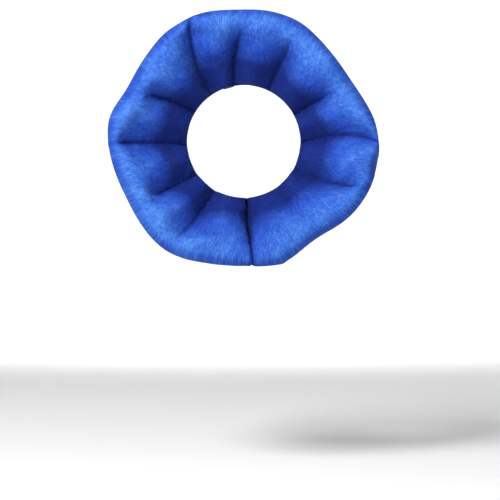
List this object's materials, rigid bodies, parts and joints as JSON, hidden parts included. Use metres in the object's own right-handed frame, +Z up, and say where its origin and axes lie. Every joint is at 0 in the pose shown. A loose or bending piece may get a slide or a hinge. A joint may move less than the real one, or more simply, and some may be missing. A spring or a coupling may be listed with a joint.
{
  "type": "elizabethan collar",
  "caption": "Soft padded cone collar for a dog or cat: stuffed plush panels round a neck opening, closed with a hook-and-loop tab and unrolled flat.",
  "frame": {"origin": "centre of the neck opening, in the plane of the padded cone's neck edge", "axes": "+Y back along the neck (the cone opens towards -Y, the way the face looks), +Z up with the closure under the chin, +X to the left of the pet that wears it"},
  "size_m": [0.2746, 0.0947, 0.2623],
  "materials": {
    "plush": "royal blue short-pile plush, brushed from the neck outwards",
    "plush_tab": "two layers of the same royal blue plush, topstitched",
    "filling": "white polyester fibre filling",
    "thread": "dark blue polyester sewing thread",
    "loop_tape": "navy loop tape, soft brushed nap",
    "hook_tape": "navy nylon hook tape",
    "webbing": "navy polypropylene webbing, plain weave",
    "label": "blank white satin ribbon"
  },
  "bodies": {
    "panel_01": {"front_cover_01": "plush", "rear_cover_01": "plush", "filling_01": "filling", "loop_strip": "loop_tape"},
    "panel_02": {"front_cover_02": "plush", "rear_cover_02": "plush", "filling_02": "filling", "seam_thread_01": "thread"},
    "panel_03": {"front_cover_03": "plush", "rear_cover_03": "plush", "filling_03": "filling", "seam_thread_02": "thread"},
    "panel_04": {"front_cover_04": "plush", "rear_cover_04": "plush", "filling_04": "filling", "seam_thread_03": "thread", "collar_loop_right": "webbing"},
    "panel_05": {"front_cover_05": "plush", "rear_cover_05": "plush", "filling_05": "filling", "seam_thread_04": "thread"},
    "panel_06": {"front_cover_06": "plush", "rear_cover_06": "plush", "filling_06": "filling", "seam_thread_05": "thread", "seam_thread_06": "thread", "care_label": "label"},
    "panel_07": {"front_cover_07": "plush", "rear_cover_07": "plush", "filling_07": "filling", "seam_thread_07": "thread", "collar_loop_top": "webbing"},
    "panel_08": {"front_cover_08": "plush", "rear_cover_08": "plush", "filling_08": "filling", "seam_thread_08": "thread"},
    "panel_09": {"front_cover_09": "plush", "rear_cover_09": "plush", "filling_09": "filling", "seam_thread_09": "thread"},
    "panel_10": {"front_cover_10": "plush", "rear_cover_10": "plush", "filling_10": "filling", "seam_thread_10": "thread", "collar_loop_left": "webbing"},
    "panel_11": {"front_cover_11": "plush", "rear_cover_11": "plush", "filling_11": "filling", "seam_thread_11": "thread"},
    "panel_12": {"front_cover_12": "plush", "rear_cover_12": "plush", "filling_12": "filling", "collar_loop_bottom": "webbing"},
    "closure_tab": {"closure_tab": "plush_tab", "hook_strip": "hook_tape"}
  },
  "joints": [
    {"name": "seam_fold_06", "type": "hinge", "parent": "panel_06", "child": "panel_07", "pos_m": [-0.00303, 0, 0.05792], "axis": [0.0444, 0.5299, -0.8469], "range_deg": [0, 14.23]},
    {"name": "seam_fold_07", "type": "hinge", "parent": "panel_07", "child": "panel_08", "pos_m": [-0.02633, 0, 0.05168], "axis": [0.385, 0.5299, -0.7556], "range_deg": [0, 15.93]},
    {"name": "seam_fold_08", "type": "hinge", "parent": "panel_08", "child": "panel_09", "pos_m": [-0.05121, 0, 0.02723], "axis": [0.7488, 0.5299, -0.3981], "range_deg": [0, 17.3]},
    {"name": "seam_fold_09", "type": "hinge", "parent": "panel_09", "child": "panel_10", "pos_m": [-0.05799, 0, -0.00101], "axis": [0.8479, 0.5299, 0.0148], "range_deg": [0, 15.34]},
    {"name": "seam_fold_10", "type": "hinge", "parent": "panel_10", "child": "panel_11", "pos_m": [-0.05073, 0, -0.02812], "axis": [0.7417, 0.5299, 0.4111], "range_deg": [0, 15.07]},
    {"name": "seam_fold_11", "type": "hinge", "parent": "panel_11", "child": "panel_12", "pos_m": [-0.03159, 0, -0.04864], "axis": [0.4619, 0.5299, 0.7112], "range_deg": [0, 17.88]},
    {"name": "seam_fold_05", "type": "hinge", "parent": "panel_06", "child": "panel_05", "pos_m": [0.02543, 0, 0.05213], "axis": [0.3718, -0.5299, 0.7622], "range_deg": [0, 17.59]},
    {"name": "seam_fold_04", "type": "hinge", "parent": "panel_05", "child": "panel_04", "pos_m": [0.05121, 0, 0.02723], "axis": [0.7488, -0.5299, 0.3981], "range_deg": [0, 17.03]},
    {"name": "seam_fold_03", "type": "hinge", "parent": "panel_04", "child": "panel_03", "pos_m": [0.05799, 0, 0.00101], "axis": [0.8479, -0.5299, 0.0148], "range_deg": [0, 13.97]},
    {"name": "seam_fold_02", "type": "hinge", "parent": "panel_03", "child": "panel_02", "pos_m": [0.05299, 0, -0.02359], "axis": [0.7747, -0.5299, -0.3449], "range_deg": [0, 14.8]},
    {"name": "seam_fold_01", "type": "hinge", "parent": "panel_02", "child": "panel_01", "pos_m": [0.03409, 0, -0.04692], "axis": [0.4985, -0.5299, -0.6861], "range_deg": [0, 16.46]},
    {"name": "closure_tab_peel", "type": "hinge", "parent": "panel_12", "child": "closure_tab", "pos_m": [0.00457, -0.02086, -0.09919], "axis": [-0.0739, 0.5299, 0.8448], "range_deg": [0, 100]}
  ],
  "couplings": [
    {"joint": "seam_fold_07", "follows": "seam_fold_06", "ratio": 1.1182},
    {"joint": "seam_fold_08", "follows": "seam_fold_06", "ratio": 1.215},
    {"joint": "seam_fold_09", "follows": "seam_fold_06", "ratio": 1.0773},
    {"joint": "seam_fold_10", "follows": "seam_fold_06", "ratio": 1.0578},
    {"joint": "seam_fold_11", "follows": "seam_fold_06", "ratio": 1.2556},
    {"joint": "seam_fold_05", "follows": "seam_fold_06", "ratio": 1.2349},
    {"joint": "seam_fold_04", "follows": "seam_fold_06", "ratio": 1.196},
    {"joint": "seam_fold_03", "follows": "seam_fold_06", "ratio": 0.98037},
    {"joint": "seam_fold_02", "follows": "seam_fold_06", "ratio": 1.0388},
    {"joint": "seam_fold_01", "follows": "seam_fold_06", "ratio": 1.1554}
  ]
}
